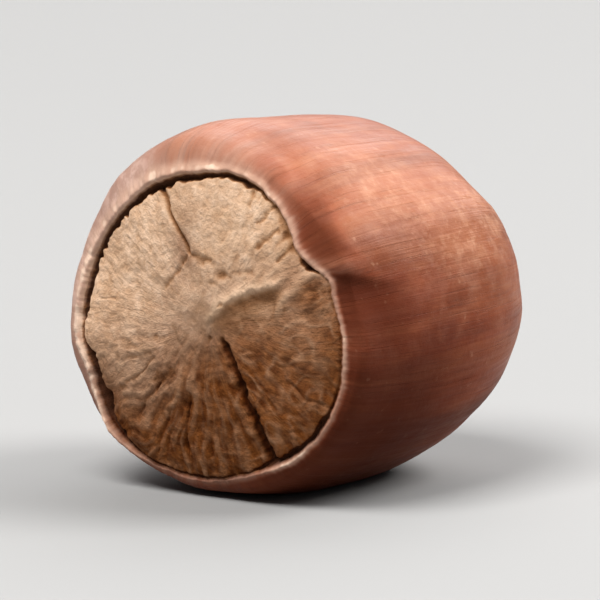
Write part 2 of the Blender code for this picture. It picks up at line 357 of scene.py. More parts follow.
def scar_relief(u, s, edge, x, z, p):
    """(relief, how much painted shade darkens its grooves, cracks and hollows, how pale it is) of the scar: a soft
    swell, short fibres that run out from its middle, cracks and the inner fold."""
    swell = 0.14 * noise(p / 3.0, 31) + 0.07 * noise(p / 1.4, 32) + 0.035 * noise(p / 0.75, 33)
    v, q = fibre_angle(x, z, p)
    amount = step(q + 0.7 * noise(p / 0.9, 34), 1.0, 3.1)
    # The fibres are most marked at the lower left and near the rim on the upper right, least on the upper left.
    marked = 0.30 + 0.60 * np.maximum(bell(u, 228, 40, 62), 0.7 * bell(u, 50, 26, 26) * step(q, 2.0, 4.0))
    marked = marked - 0.34 * bell(u, 140, 50, 42) - 0.24 * bell(u, 345, 50, 45)
    marked = marked + 0.36 * noise(p / 1.9, 48)
    fold_d, fold_way, fold_side = from_path(x, z, SCAR_FOLD)
    marked = np.clip(marked, 0.08, 1.1) * amount * (1 - 0.75 * np.exp(-((fold_d / 0.7) ** 2)))
    # Short grooves, like strokes of a stiff brush, and the raised strands between them
    rough = noise(p / 0.30, 108)
    broad = fibre_noise(v, q, 0.46, 1.75, 43) + 0.20 * rough + 0.12 * noise(p / 0.15, 109)
    short = fibre_noise(v, q, 0.27, 0.95, 44) + 0.16 * rough
    hair = fibre_noise(v, q, 0.15, 0.80, 47)
    marked = marked * (1 - 0.45 * bell(u, 222, 24, 30) * step(q, 4.6, 6.6))
    grooves = (0.088 * step(broad, 0.12, 0.62) + 0.036 * step(short, 0.18, 0.58)) * marked
    grooves = grooves + 0.009 * step(hair, 0.0, 0.5) * np.clip(0.15 + 1.2 * marked, 0, 1) * amount
    strands = (0.045 * step(-broad, 0.05, 0.55) + 0.025 * step(-short, 0.05, 0.50)) * (0.15 + 0.85 * marked)
    crumb = 0.036 * noise(p / 0.50, 45) + 0.020 * noise(p / 0.24, 49)
    # Veins that wander between felted cushions, on the right
    veined = (0.25 + 0.75 * bell(u, 345, 55, 50)) * step(q, 0.8, 2.2)
    bent = p / 1.15 + 0.45 * np.stack([noise(p / 1.3, 84), noise(p / 1.3, 85), noise(p / 1.3, 86)], axis=-1)
    veins = 0.035 * veined * np.exp(-((noise(bent, 87) / 0.11) ** 2)) * (0.6 + 0.6 * noise(p / 0.9, 88))
    curled = p / 1.05 + 0.55 * np.stack([noise(p / 1.1, 101), noise(p / 1.1, 102), noise(p / 1.1, 103)], axis=-1)
    curls = veined * np.exp(-((noise(curled, 104) / 0.17) ** 2)) * np.clip(0.55 + 0.9 * noise(p / 1.2, 105), 0, 1)
    crumb = crumb - veins + 0.03 * veined * np.abs(noise(bent, 87)) + 0.045 * curls
    pits = 0.065 * step(noise(p / 0.5, 57), 0.46, 0.75) * (1 - 0.4 * amount)
    high = swell - grooves + strands * amount + crumb - pits

    cut = np.zeros_like(high)
    wobble_x = noise(p / 0.9, 51) + 0.6 * noise(p / 0.36, 53) + 0.3 * noise(p / 0.15, 60)
    wobble_z = noise(p / 0.9, 52) + 0.6 * noise(p / 0.36, 54) + 0.3 * noise(p / 0.15, 63)
    for path, depth, w0, w1, ragged in CRACKS:
        d, way, _ = from_path(x + ragged * wobble_x, z + ragged * wobble_z, path)
        width = (w0 + (w1 - w0) * way) * (1 + 0.45 * noise(p / 0.6, 55))
        ends = step(way, 0.0, 0.10) * step(-way, -1.0, -0.88)
        cut = np.maximum(cut, depth * ends * np.exp(-(np.abs(d / width) ** 1.6)))
        if depth > 0.3:
            high = high + 0.035 * np.exp(-(((d - 2.6 * width) / (1.5 * width)) ** 2))
    ridge = np.zeros_like(high)
    for path, height in ((SCAR_FOLD, 1.0), (SCAR_STRAND, 0.8)):
        d, way, _ = from_path(x + 0.15 * wobble_x, z + 0.15 * wobble_z, path)
        along = step(way, 0.0, 0.15) * step(-way, -1.0, -0.88)
        thick = 0.24 * (1 + 0.35 * noise(p / 0.8, 56))
        ridge = np.maximum(ridge, height * np.exp(-((d / thick) ** 2)) * along * (0.85 + 0.35 * noise(p / 0.5, 59)))
    # The scar stands a little lower below the fold than above it. That drop, and a strip along the fold's lower side,
    # are darkened as painted shade.
    along = step(fold_way, 0.05, 0.25) * step(-fold_way, -1.0, -0.80)
    drop = np.exp(-((fold_d / 1.9) ** 2)) * (fold_side < 0) * along * (1 - np.exp(-((fold_d / 0.35) ** 2)))
    fold_lee_shade = np.exp(-(((fold_d - 0.45) / 0.32) ** 2)) * (fold_side < 0) * along * step(fold_way, 0.22, 0.50)
    hx, hz = x + 0.12 * wobble_x, z + 0.12 * wobble_z
    hollow = 0.17 * np.exp(-(((hx - 1.45) / 0.30) ** 2) - (((hz - 2.66) / 0.20) ** 2))
    hollow += 0.09 * np.exp(-(((hx - 2.20) / 0.42) ** 2) - (((hz - 2.80) / 0.24) ** 2))
    hollow += 0.08 * np.exp(-(((hx - 2.90) / 0.26) ** 2) - (((hz - 2.92) / 0.18) ** 2))
    # Where the crevice is closed on the right, the scar dips softly to meet the lip, and the dip is darkened as painted
    # shade.
    dip = 0.10 * bell(u, 49, 13, 12) * np.exp(-((((s - edge) + 0.22) / 0.20) ** 2))
    high = high - cut + 0.17 * ridge - 0.10 * drop - hollow - dip
    # Painted shade: grooves, cracks, hollows, pits, veins, the dip, the drop below the fold, the fold's lower side and
    # the middle darken the scar's colour.
    recess_shade = 2.3 * grooves * np.clip(1 - ridge, 0, 1) + 1.9 * cut + 1.7 * hollow + 2.0 * pits + 0.20 * drop
    recess_shade = recess_shade + 1.6 * dip + 3.0 * np.clip(veins, 0, None) + 0.13 * fold_lee_shade
    recess_shade = recess_shade + 0.10 * np.exp(-((q / 1.3) ** 2))
    pale = 1.1 * ridge + 0.45 * step(-broad, 0.0, 0.5) * marked + 0.20 * step(-short, 0.0, 0.5) + 0.6 * curls
    return high, recess_shade, pale


def rim_shape(u, s, edge, p):
    """(share of the shell, relief of the crevice and the lip) across the scar's rim."""
    out = s - edge
    strength = crevice_strength(u)
    # Both sides of the crevice are torn, each in its own way.
    rough = np.clip(0.24 + 0.50 * noise(round_axis(u, s, 4.0, 2.0), 110), 0.06, 0.60)
    torn = noise(round_axis(u, s, 13.0, 0.8), 64) + rough * noise(round_axis(u, s, 34.0, 0.5), 65)
    width = (0.10 + 0.15 * strength) * (1 + 0.30 * torn)
    depth = 0.06 + 0.36 * strength
    shell = step(out, -0.7 * width, 0.04)
    middle = out + 1.05 * width + 0.035 * noise(round_axis(u, s, 24.0, 0.6), 66)
    crevice = -depth * np.exp(-(np.abs(middle / (0.60 * width)) ** 2.2))
    # The lip's corner is thin and uneven, and stands up a little where the crevice is open.
    uneven = noise(round_axis(u, s, 9.0, 2.0), 61) + 0.8 * noise(round_axis(u, s, 24.0, 1.0), 62)
    lip = around(u, LIP_HIGH) * np.clip(1 + 0.8 * uneven, 0, 2) * step(out, -0.10, 0.05)
    lip = lip * np.exp(-((np.clip(out - 0.03, 0, None) / (0.10 + 0.75 * around(u, LIP_THICK))) ** 2.0))
    torn_lines = noise(round_axis(u, s, 44.0, 0.9), 67) + 0.5 * noise(p / 0.16, 68)
    lip = lip + 0.030 * torn_lines * step(out, -0.4, -0.05) * np.exp(-((np.clip(out, 0, None) / 0.45) ** 2))
    # A small flake of the lip has lifted at the lower left.
    lip = lip + 0.15 * bell(u, 226, 4, 7) * np.exp(-(((out - 0.05) / 0.15) ** 2))
    return shell, crevice + lip


def fold_turn(out):
    """How many degrees the fold behind the notch has turned down, so far out from the scar's edge."""
    return np.interp(out, [0.2, 0.6, 1.2, 2.0, 2.7, 3.5], [0.0, 2.0, 3.2, 4.8, 6.6, 8.0])


def shell_relief(u, s, edge, p):
    """The shell's fine relief: dents and swells, lengthwise lines, the fibrous collar and the wrinkled tip."""
    out = s - edge
    from_tip = WHOLE - s
    swell = 0.085 * noise(p / 5.2, 71) + 0.040 * noise(p / 2.7, 72) + 0.010 * noise(p / 1.3, 73)
    calm = step(from_tip, 0.2, 3.5)
    lines = 0.020 * noise(round_axis(u, s, 6.0, 10.0), 74) + 0.008 * noise(round_axis(u, s, 16.0, 7.0), 75)
    lines = lines + 0.004 * noise(round_axis(u, s, 38.0, 5.0), 76)
    # The shell is pinched in behind the lip on the upper right, and below the fold that runs back from the notch.
    pinch = -0.10 * bell(u, 54, 20, 24) * np.exp(-(((out - 1.1) / 0.9) ** 2))
    back = step(out, 0.0, 0.7) * np.exp(-((np.clip(out - 0.8, 0, None) / 2.0) ** 2))
    under = -0.20 * bell(u + np.radians(fold_turn(out)), 22.5, 13, 4.2) * back
    crest = 0.10 * bell(u + np.radians(fold_turn(out)), 29.5, 3.4, 7) * back
    collar = step(out, 0.0, 0.2) * np.exp(-((np.clip(out, 0, None) / 1.8) ** 2))
    fibres = collar * (0.020 * noise(round_axis(u, s, 13.0, 2.0), 78) + 0.013 * noise(round_axis(u, s, 30.0, 1.6), 77))
    tip = (1 - step(from_tip, 0.5, 5.0)) * (
        0.05 * noise(round_axis(u, s, 4.5, 2.5), 79) + 0.03 * noise(p / 0.8, 80)
    )
    ring = 0.05 * np.exp(-(((from_tip - 2.6 - 0.3 * noise(round_axis(u, 0 * s, 3.0, 1.0), 82)) / 0.3) ** 2))
    dents = -0.035 * step(noise(p / 1.5, 81), 0.42, 0.75)
    # Small blisters where the skin has worn on the upper shoulder
    blister = worn_patch(u, s) * 0.028 * step(noise(p / 0.42, 83), 0.05, 0.5)
    return swell + calm * lines + pinch + under + crest + fibres + tip + ring + dents + blister


def painted_shell_shade(u, out):
    """Where shade is painted into the shell's colour as a dark red-brown: in the pinch behind the lip, under the fold,
    and down the flank from there.
    """
    low = bell(u, 34, 12, 10)
    pinch = 0.86 * bell(u, 39, 19, 23) * np.exp(-((np.abs(out - 1.45 + 0.20 * low) / (1.35 - 0.25 * low)) ** 4))
    above = 0.50 * bell(u, 67, 12, 12) * np.exp(-((np.abs(out - 0.95) / 0.72) ** 4))
    pinch = np.maximum(pinch, above)
    turned = u + np.radians(fold_turn(out))
    under = bell(turned, 25, 39, 2.8) * step(out, 0.05, 0.30)
    under = under * np.exp(-((np.clip(out - 2.0, 0, None) / 3.2) ** 2))
    flank = 0.95 * bell(u, -32, 78, 46) * step(out, 0.05, 0.40) * np.exp(-((np.clip(out - 3.8, 0, None) / 6.2) ** 2))
    crest = 1 - 0.45 * bell(turned, 30.5, 2.2, 3.4) * step(out, 0.0, 0.3)
    return np.clip(np.maximum(np.maximum(pinch, under), flank) * crest, 0, 1)


def lip_paleness(u, s, out):
    """How pale the lip's thin corner is: clear on the left, the top and the lower right, faint at the bottom."""
    broken = 1 + 0.40 * noise(round_axis(u, 0 * u, 8.0, 1.0), 94) + 0.30 * noise(round_axis(u, 0 * u, 26.0, 1.0), 95)
    thick = 1 + 0.35 * noise(round_axis(u, 0 * u, 11.0, 1.0), 96) + 0.35 * noise(round_axis(u, 0 * u, 34.0, 1.0), 97)
    wide = around(u, LIP_THICK)
    corner = np.exp(-((np.abs(out - 0.03 - 0.55 * np.clip(wide - 0.1, 0, None)) / (thick * wide)) ** 2.2))
    return np.clip(broken * around(u, LIP_PALE) * corner, 0, 1)


def worn_patch(u, s):
    """Where the skin has worn paler, on the upper shoulder and a little way down it."""
    high = 0.82 * bell(u, 47, 15, 20) * np.exp(-(((s - 13.6) / 2.8) ** 2))
    low = 0.78 * bell(u, 26, 12, 12) * np.exp(-(((s - 16.8) / 2.4) ** 2))
    far = 0.95 * bell(u, 37, 17, 17) * np.exp(-(((s - 20.3) / 2.4) ** 2))
    return np.clip(high + low + far, 0, 1)


def scar_brown_and_shade(x, z, p):
    """How brown the scar is: pale at the left and the top, browner at its lower side and round the first crack. The
    browner lower side is partly the scar's own colour and partly painted shade.
    """
    share = step(0.40 * x - 0.92 * z, -4.0, 2.8)
    mottle = noise(p / 1.3, 106) + 0.6 * noise(p / 0.6, 107)
    near_crack = 0.36 * np.exp(-(((x + 0.9) / 1.15) ** 2) - (((z - 3.7) / 2.0) ** 2)) * (1 + 0.8 * mottle)
    right = -0.12 * np.exp(-(((x - 5.6) ** 2 + (z - 0.1) ** 2) / 1.8**2))
    fold = -0.22 * np.exp(-(((x - 3.4) / 1.4) ** 2) - (((z - 1.4) / 0.7) ** 2))
    left = -0.27 * np.exp(-(((x + 3.7) ** 2 + (z + 2.5) ** 2) / 1.7**2))
    by_notch = 0.30 * np.exp(-(((x - 5.9) / 1.0) ** 2) - (((z - 2.5) / 0.9) ** 2))
    middle = -0.17 * np.exp(-(((x - 0.7) ** 2 + (z - 0.6) ** 2) / 1.2**2))
    share = share + near_crack + right + fold + left + by_notch + middle
    return np.clip(share + 0.35 * mottle * np.clip(share * (1 - share), 0, None), 0, 1)


def far_side(u, s):
    """1 on the far side and towards the tip, where the skin is a deeper chestnut."""
    return 1 - bell(u, 55, 95, 75) * (1 - step(s, 19.5, 25.5))


def dust_and_sheen_band(u, out):
    """Where the skin behind the lip is paler: on the upper left and over the top. This is partly dust and partly a
    painted sheen on the upward-facing side.
    """
    band = np.maximum(np.maximum(0.42 * bell(u, 100, 30, 40), bell(u, 126, 26, 30)), bell(u, 162, 40, 36))
    band = band * np.exp(-((np.clip(out, 0, None) / 3.6) ** 2))
    return np.clip(band + 0.16 * bell(u, 78, 42, 50) * step(out, 1.5, 5.0), 0, 1)


# ---------------------------------------------------------------------------------------------------------------
# The nut's mesh


def ragged_edge(u):
    """The scar's edge with the sharp notch and the small bites and points that the CAD part leaves out."""
    return (
        rim_length(u)
        + around(u, EDGE_SHIFT)
        + 0.06 * noise(round_axis(u, 0 * u, 6.0, 1.0), 91)
        + 0.040 * noise(round_axis(u, 0 * u, 15.0, 1.0), 92)
        + 0.025 * noise(round_axis(u, 0 * u, 33.0, 1.0), 93)
    )


def nut_rings():
    """(angle, length along the turned line, the scar's edge) at each point of each ring, from the scar to the tip."""
    made = []

    def ring(count, place):
        u = np.arange(count) * 2 * math.pi / count
        edge = ragged_edge(u)
        made.append((u, place(edge), edge))

    for k in range(1, SCAR_RINGS + 1):
        share = k / SCAR_RINGS
        halvings = sum(share < limit for limit in (0.50, 0.25, 0.125))
        ring(ROUND >> halvings, lambda edge: share * (edge + RIM_FROM))
    for k in range(1, RIM_RINGS + 1):
        ring(ROUND, lambda edge: edge + RIM_FROM + (RIM_TO - RIM_FROM) * k / RIM_RINGS)
    for k in range(1, LIP_RINGS + 1):
        ring(ROUND, lambda edge: edge + RIM_TO + (LIP_TO - RIM_TO) * (k / LIP_RINGS) ** 1.3)
    for k in range(1, SHELL_RINGS + 1):
        share = k / (SHELL_RINGS + 1)
        halvings = 1 + sum(share > limit for limit in (0.82, 0.92, 0.97))
        ring(ROUND >> halvings, lambda edge: edge + LIP_TO + share * (WHOLE - edge - LIP_TO))
    return made


def joined(near, far):
    """Faces between two rings of vertex numbers, where one may have twice as many points as the other."""
    if len(near) == len(far):
        return np.stack([near, far, np.roll(far, -1), np.roll(near, -1)], axis=-1).tolist()
    if len(near) < len(far):
        a, b = near, far[0::2]
        mid, a2, b2 = far[1::2], np.roll(near, -1), np.roll(far[0::2], -1)
        parts = ([a, b, mid], [a, mid, a2], [a2, mid, b2])
    else:
        a, b = near[0::2], far
        mid, a2, b2 = near[1::2], np.roll(near[0::2], -1), np.roll(far, -1)
        parts = ([a, b, mid], [b, b2, mid], [b2, a2, mid])
    return np.concatenate([np.stack(part, axis=-1) for part in parts]).tolist()


def build_nut():
    rings = nut_rings()
    # The two ends are single points: each is worked out as a small ring, and then takes its mean.
    u_end = rings[0][0]
    e_end = ragged_edge(u_end)
    rings = [(u_end, 0 * u_end, e_end)] + rings + [(u_end, 0 * u_end + WHOLE, e_end)]
    counts = [len(u) for u, _, _ in rings]
    u, s, edge = (np.concatenate([r[i] for r in rings]) for i in range(3))
    out = s - edge

    broad = body(u, s, out) * step(s, 0.3, 4.0)
    smooth = surface(u, s, broad)
    rho = np.interp(s, LINE_LENGTH, LINE_RHO)
    x, z = rho * HALF_WIDTH * np.cos(u), rho * HALF_THICKNESS * np.sin(u)
    shell_share, rim_high = rim_shape(u, s, edge, smooth)
    in_scar, groove_shade, pale = np.zeros_like(s), np.zeros_like(s), np.zeros_like(s)
    m = out < 0.1
    in_scar[m], groove_shade[m], pale[m] = scar_relief(u[m], s[m], edge[m], x[m], z[m], smooth[m])
    in_shell = np.zeros_like(s)
    m = out > -0.5
    in_shell[m] = shell_relief(u[m], s[m], edge[m], smooth[m])
    sink = 0.05 + 0.09 * crevice_strength(u) * step(out, -3.0, -0.2) + 0.19 * step(-out, 0.8, 4.5)
    fine = (1 - shell_share) * (in_scar - sink) + shell_share * in_shell + rim_high
    for end in (slice(0, counts[0]), slice(-counts[-1], None)):
        fine[end] = fine[end].mean()
    points = surface(u, s, broad + fine)

    mx, my, low = cad_origin()
    points = points - np.array([mx, my, low])
    # The flat spot: what would lie under the surface is pressed flat, with a soft edge to it.
    soft = 0.05
    height = points[:, 2]
    points[:, 2] = np.where(height > soft, height - soft / 2, np.clip(height, 0, None) ** 2 / (2 * soft))

    # Each end's ring becomes its first point alone.
    kept = np.ones(len(s), bool)
    kept[1 : counts[0]] = False
    kept[len(s) - counts[-1] + 1 :] = False
    verts = points[kept] * MM
    faces, start = [], 1
    numbers = []
    for count in counts[1:-1]:
        numbers.append(np.arange(start, start + count))
        start += count
    first, last = numbers[0], numbers[-1]
    faces += np.stack([0 * first, first, np.roll(first, -1)], axis=-1).tolist()
    for near, far in zip(numbers, numbers[1:]):
        faces += joined(near, far)
    faces += np.stack([0 * last + start, np.roll(last, -1), last], axis=-1).tolist()
    mesh = bpy.data.meshes.new("nut")
    mesh.from_pydata(verts.tolist(), [], faces)
    mesh.validate()

    def keep(name, value):
        """Stores one number or one vector for each vertex, for the material to read."""
        kind, place = ("FLOAT_VECTOR", "vector") if value.ndim == 2 else ("FLOAT", "value")
        data = mesh.attributes.new(name, kind, "POINT").data
        data.foreach_set(place, value[kept].astype(np.float32).ravel())

    keep("grain", np.stack([np.cos(u), np.sin(u), s / 10], axis=-1))
    v, q = fibre_angle(x, z, smooth)
    keep("fibre", np.stack([np.cos(v), np.sin(v), q / 10], axis=-1))
    keep("worn", worn_patch(u, s))
    # How brown the scar is; its browner lower side is partly painted shade
    keep("low", scar_brown_and_shade(x, z, smooth))
    keep("far", far_side(u, s))
    keep("out", np.clip(out, -4, 4))
    keep("scar", 1 - step(out, -0.10, 0.0))
    keep("tip", 1 - np.clip((WHOLE - s) / 8.0, 0, 1))
    # How far each point lies under its neighbourhood. The material darkens these grooves, cracks and the crevice: this
    # is painted shade, with some of the cracks' own darker brown.
    wide = 0.10 + 0.15 * crevice_strength(u)
    crevice_shade = -np.clip(rim_high, None, 0) * 6.5 * step(-out, -0.05 * wide, 0.35 * wide)
    crevice_shade = crevice_shade * (0.15 + 0.85 * step(crevice_strength(u), 0.05, 0.35))
    keep("recess_shade", np.clip(groove_shade * (1 - shell_share) + crevice_shade, 0, 1))
    keep("pale", np.clip(pale * (1 - shell_share), 0, 1))
    # The shell's painted shade, which the material turns into a deep red-brown
    keep("painted_shade", painted_shell_shade(u, out))
    keep("lip", lip_paleness(u, s, out))
    keep("dust_and_sheen", dust_and_sheen_band(u, out))
    mesh.materials.append(nut_material("nut_shell", 0.17))
    mesh.materials.append(nut_material("nut_scar", 0.08))
    # The scar's own material starts inside the crevice.
    within = out[kept] < -0.12
    for poly in mesh.polygons:
        poly.use_smooth = True
        poly.material_index = int(within[list(poly.vertices)].all())
    return mesh


# ---------------------------------------------------------------------------------------------------------------
# Materials


class Graph:
    """Short names for building a node tree."""

    def __init__(self, name):
        self.material = bpy.data.materials.new(name)
        self.material.use_nodes = True
        self.tree = self.material.node_tree
        self.shader = self.tree.nodes["Principled BSDF"]
        self.column = -300

    def add(self, kind, **settings):
        node = self.tree.nodes.new(kind)
        self.column -= 40
        node.location = (self.column, 200)
        for key, value in settings.items():
            setattr(node, key, value)
        return node

    def put(self, socket, value):
        if isinstance(value, bpy.types.NodeSocket):
            self.tree.links.new(value, socket)
        elif isinstance(value, tuple) and len(value) == 3 and socket.type == "RGBA":
            socket.default_value = value + (1.0,)
        else:
            socket.default_value = value

    def attribute(self, name, vector=False):
        node = self.add("ShaderNodeAttribute", attribute_name=name)
        return node.outputs["Vector" if vector else "Fac"]

    def scaled(self, vector, scale, offset=(0.0, 0.0, 0.0)):
        node = self.add("ShaderNodeVectorMath", operation="MULTIPLY_ADD")
        self.put(node.inputs[0], vector)
        self.put(node.inputs[1], scale)
        self.put(node.inputs[2], offset)
        return node.outputs[0]

    def noise(self, vector, scale=1.0, detail=2.0, roughness=0.5, distortion=0.0):
        node = self.add("ShaderNodeTexNoise")
        self.put(node.inputs["Vector"], vector)
        node.inputs["Scale"].default_value = scale
        node.inputs["Detail"].default_value = detail
        node.inputs["Roughness"].default_value = roughness
        node.inputs["Distortion"].default_value = distortion
        return node.outputs["Fac"]

    def ramp(self, value, low, high, to_low=0.0, to_high=1.0, smooth=True):
        node = self.add("ShaderNodeMapRange", interpolation_type="SMOOTHSTEP" if smooth else "LINEAR")
        node.clamp = True
        self.put(node.inputs["Value"], value)
        for key, v in (("From Min", low), ("From Max", high), ("To Min", to_low), ("To Max", to_high)):
            self.put(node.inputs[key], v)
        return node.outputs["Result"]

    def math(self, operation, a, b=0.0, c=0.0):
        node = self.add("ShaderNodeMath", operation=operation)
        for socket, value in zip(node.inputs, (a, b, c)):
            self.put(socket, value)
        return node.outputs[0]

    def mix(self, share, a, b, kind="MIX"):
        node = self.add("ShaderNodeMix", data_type="RGBA", blend_type=kind)
        self.put(node.inputs[0], share)
        self.put(node.inputs[6], a)
        self.put(node.inputs[7], b)
        return node.outputs[2]

    def colours(self, value, stops):
        node = self.add("ShaderNodeValToRGB")
        self.put(node.inputs[0], value)
        ramp = node.color_ramp
        while len(ramp.elements) > 1:
            ramp.elements.remove(ramp.elements[-1])
        ramp.elements[0].position, ramp.elements[0].color = stops[0][0], stops[0][1] + (1.0,)
        for place, colour in stops[1:]:
            ramp.elements.new(place).color = colour + (1.0,)
        return node.outputs["Color"]


def nut_material(name, shine):
    """The nut's colour, roughness and fine grain. Shell and scar share it, and differ only in how much they shine."""
    g = Graph(name)
    grain, fibre = g.attribute("grain", True), g.attribute("fibre", True)
    names = ("out", "scar", "tip", "recess_shade", "pale", "worn", "low", "painted_shade", "lip", "dust_and_sheen", "far")
    out, scar, tip, recess_shade, pale, worn, low, painted_shade, lip, dust_and_sheen, far = (g.attribute(n) for n in names)
    place = g.add("ShaderNodeTexCoord").outputs["Object"]

    # Shell: broad, soft lengthwise bands of chestnut and red-brown
    broad = g.noise(g.scaled(grain, (1.6, 1.6, 1.1)), 1.0, 3.0, 0.5)
    shell = g.colours(broad, [(0.32, (0.140, 0.027, 0.008)), (0.50, (0.215, 0.047, 0.015)), (0.70, (0.295, 0.078, 0.026))])
    bands = g.noise(g.scaled(grain, (6.5, 6.5, 0.5), (3.1, 0.0, 0.0)), 1.0, 2.0)
    shell = g.mix(g.ramp(bands, 0.46, 0.28, 0.0, 0.42), shell, (0.095, 0.022, 0.009))
    shell = g.mix(g.ramp(bands, 0.54, 0.72, 0.0, 0.30), shell, (0.39, 0.140, 0.058))
    # Fine dark and pale lines, stronger in some places than in others
    where = g.ramp(g.noise(g.scaled(grain, (2.4, 2.4, 3.0), (0.0, 5.0, 0.0)), 1.0, 2.0), 0.36, 0.66, 0.15, 1.0)
    lines = g.noise(g.scaled(grain, (22.0, 22.0, 0.7)), 1.0, 3.0, 0.6)
    shell = g.mix(g.math("MULTIPLY", where, g.ramp(lines, 0.54, 0.74, 0.0, 0.30)), shell, (0.085, 0.020, 0.009))
    shell = g.mix(g.math("MULTIPLY", where, g.ramp(lines, 0.46, 0.28, 0.0, 0.20)), shell, (0.46, 0.20, 0.10))
    hairlines = g.noise(g.scaled(grain, (50.0, 50.0, 1.4), (0.0, 0.0, 4.0)), 1.0, 4.0, 0.7)
    shell = g.mix(g.math("MULTIPLY", where, g.ramp(hairlines, 0.55, 0.70, 0.0, 0.22)), shell, (0.075, 0.018, 0.008))
    shell = g.mix(g.math("MULTIPLY", where, g.ramp(hairlines, 0.43, 0.33, 0.0, 0.14)), shell, (0.50, 0.23, 0.12))
    # Soft streaky mottling, and a thin dusty bloom
    streaks = g.noise(g.scaled(grain, (11.0, 11.0, 5.0), (0.0, 2.0, 0.0)), 1.0, 4.0, 0.6)
    shell = g.mix(g.ramp(streaks, 0.50, 0.70, 0.0, 0.22), shell, (0.42, 0.165, 0.078))
    shell = g.mix(g.ramp(streaks, 0.48, 0.30, 0.0, 0.30), shell, (0.105, 0.025, 0.010))
    mottle = g.noise(place, 420.0, 5.0, 0.62)
    shell = g.mix(g.ramp(mottle, 0.52, 0.72, 0.0, 0.12), shell, (0.44, 0.19, 0.10))
    bloom = g.noise(place, 750.0, 5.0, 0.7)
    shell = g.mix(g.ramp(bloom, 0.42, 0.70, 0.02, 0.15), shell, (0.47, 0.285, 0.230))
    # The far side has stronger streaks, and dust that has caught in patches
    long_streaks = g.noise(g.scaled(grain, (4.4, 4.4, 0.7), (7.0, 0.0, 0.0)), 1.0, 3.0, 0.55)
    shell = g.mix(g.math("MULTIPLY", far, g.ramp(long_streaks, 0.53, 0.68, 0.0, 0.42)), shell, (0.43, 0.185, 0.088))
    shell = g.mix(g.math("MULTIPLY", far, g.ramp(long_streaks, 0.47, 0.31, 0.0, 0.50)), shell, (0.100, 0.025, 0.010))
    dust = g.math("MULTIPLY", g.ramp(g.noise(place, 230.0, 4.0, 0.65), 0.46, 0.78), g.ramp(g.noise(place, 2300.0, 3.0, 0.65), 0.36, 0.68))
    shell = g.mix(g.math("MULTIPLY", g.math("MULTIPLY", far, dust), 0.34), shell, (0.50, 0.335, 0.260))
    # Painted shade: the pinch behind the lip, the underside of the fold and the lower flank turn a more saturated red,
    # then a deep red-brown.
    shell = g.mix(g.ramp(painted_shade, 0.02, 0.45, 0.0, 0.9), shell, (1.16, 0.93, 0.80), "MULTIPLY")
    shell = g.mix(g.math("MULTIPLY", painted_shade, 0.93), shell, (0.054, 0.0075, 0.0015))
    shell = g.mix(far, shell, (0.80, 0.76, 0.76), "MULTIPLY")
    # Paler, softly speckled skin where it has worn
    soft = g.ramp(g.noise(place, 950.0, 4.0, 0.6), 0.42, 0.68)
    blotch = g.math("ADD", g.math("MULTIPLY", soft, 0.65), g.ramp(g.noise(place, 2400.0, 3.0, 0.6), 0.52, 0.68, 0.0, 0.35))
    shell = g.mix(g.math("MULTIPLY", g.math("MULTIPLY", worn, blotch), 0.62), shell, (0.60, 0.34, 0.220))
    shell = g.mix(g.math("MULTIPLY", worn, 0.26), shell, (0.47, 0.195, 0.09))
    specks = g.noise(place, 1700.0, 2.0, 0.6)
    bare = g.ramp(painted_shade, 0.0, 0.8, 1.0, 0.30)
    shell = g.mix(g.math("MULTIPLY", bare, g.ramp(specks, 0.66, 0.76, 0.0, 0.26)), shell, (0.50, 0.27, 0.17))
    # Paler, fibrous and dustier towards the lip; pale on the lip's own corner
    hairs = g.noise(g.scaled(grain, (16.0, 16.0, 5.0)), 1.0, 4.0, 0.6)
    near = g.math("MULTIPLY", g.ramp(out, 2.8, 0.0), g.ramp(hairs, 0.34, 0.70, 0.20, 0.60))
    near = g.math("MULTIPLY", near, g.ramp(painted_shade, 0.0, 0.8, 1.0, 0.04))
    shell = g.mix(near, shell, (0.34, 0.190, 0.135))
    # Dust and painted sheen: the band behind the lip on the upper left and over the top is paler and speckled.
    shell = g.mix(g.math("MULTIPLY", dust_and_sheen, g.ramp(hairs, 0.32, 0.68, 0.62, 0.84)), shell, (0.40, 0.245, 0.190))
    specked = g.math("MULTIPLY", g.ramp(dust_and_sheen, 0.45, 1.0), g.ramp(g.noise(place, 1250.0, 4.0, 0.62), 0.40, 0.62, 0.28, 0.86))
    shell = g.mix(specked, shell, (0.66, 0.445, 0.370))
    shell = g.mix(g.math("MULTIPLY", lip, 0.9), shell, (0.57, 0.36, 0.262))
    shell = g.mix(g.ramp(lip, 0.75, 1.0, 0.0, 0.75), shell, (0.76, 0.56, 0.430))
    # The downy tip: dense round the point, then streaks that run back from it and thin out
    down_noise = g.noise(g.scaled(grain, (8.0, 8.0, 4.0)), 1.0, 5.0, 0.68)
    down_fine = g.noise(g.scaled(grain, (26.0, 26.0, 9.0)), 1.0, 3.0, 0.65)
    fur = g.math("ADD", g.math("MULTIPLY", g.math("SUBTRACT", down_noise, 0.5), 1.5),
                 g.math("MULTIPLY", g.math("SUBTRACT", down_fine, 0.5), 0.7))
    down = g.ramp(g.math("ADD", tip, g.math("MULTIPLY", fur, g.ramp(tip, 0.0, 0.25, 0.3, 1.0))), 0.34, 1.02)
    fluff = g.mix(g.noise(place, 2600.0, 3.0), (0.245, 0.150, 0.105), (0.43, 0.315, 0.245))
    shell = g.mix(g.math("MULTIPLY", down, 0.78), shell, fluff)
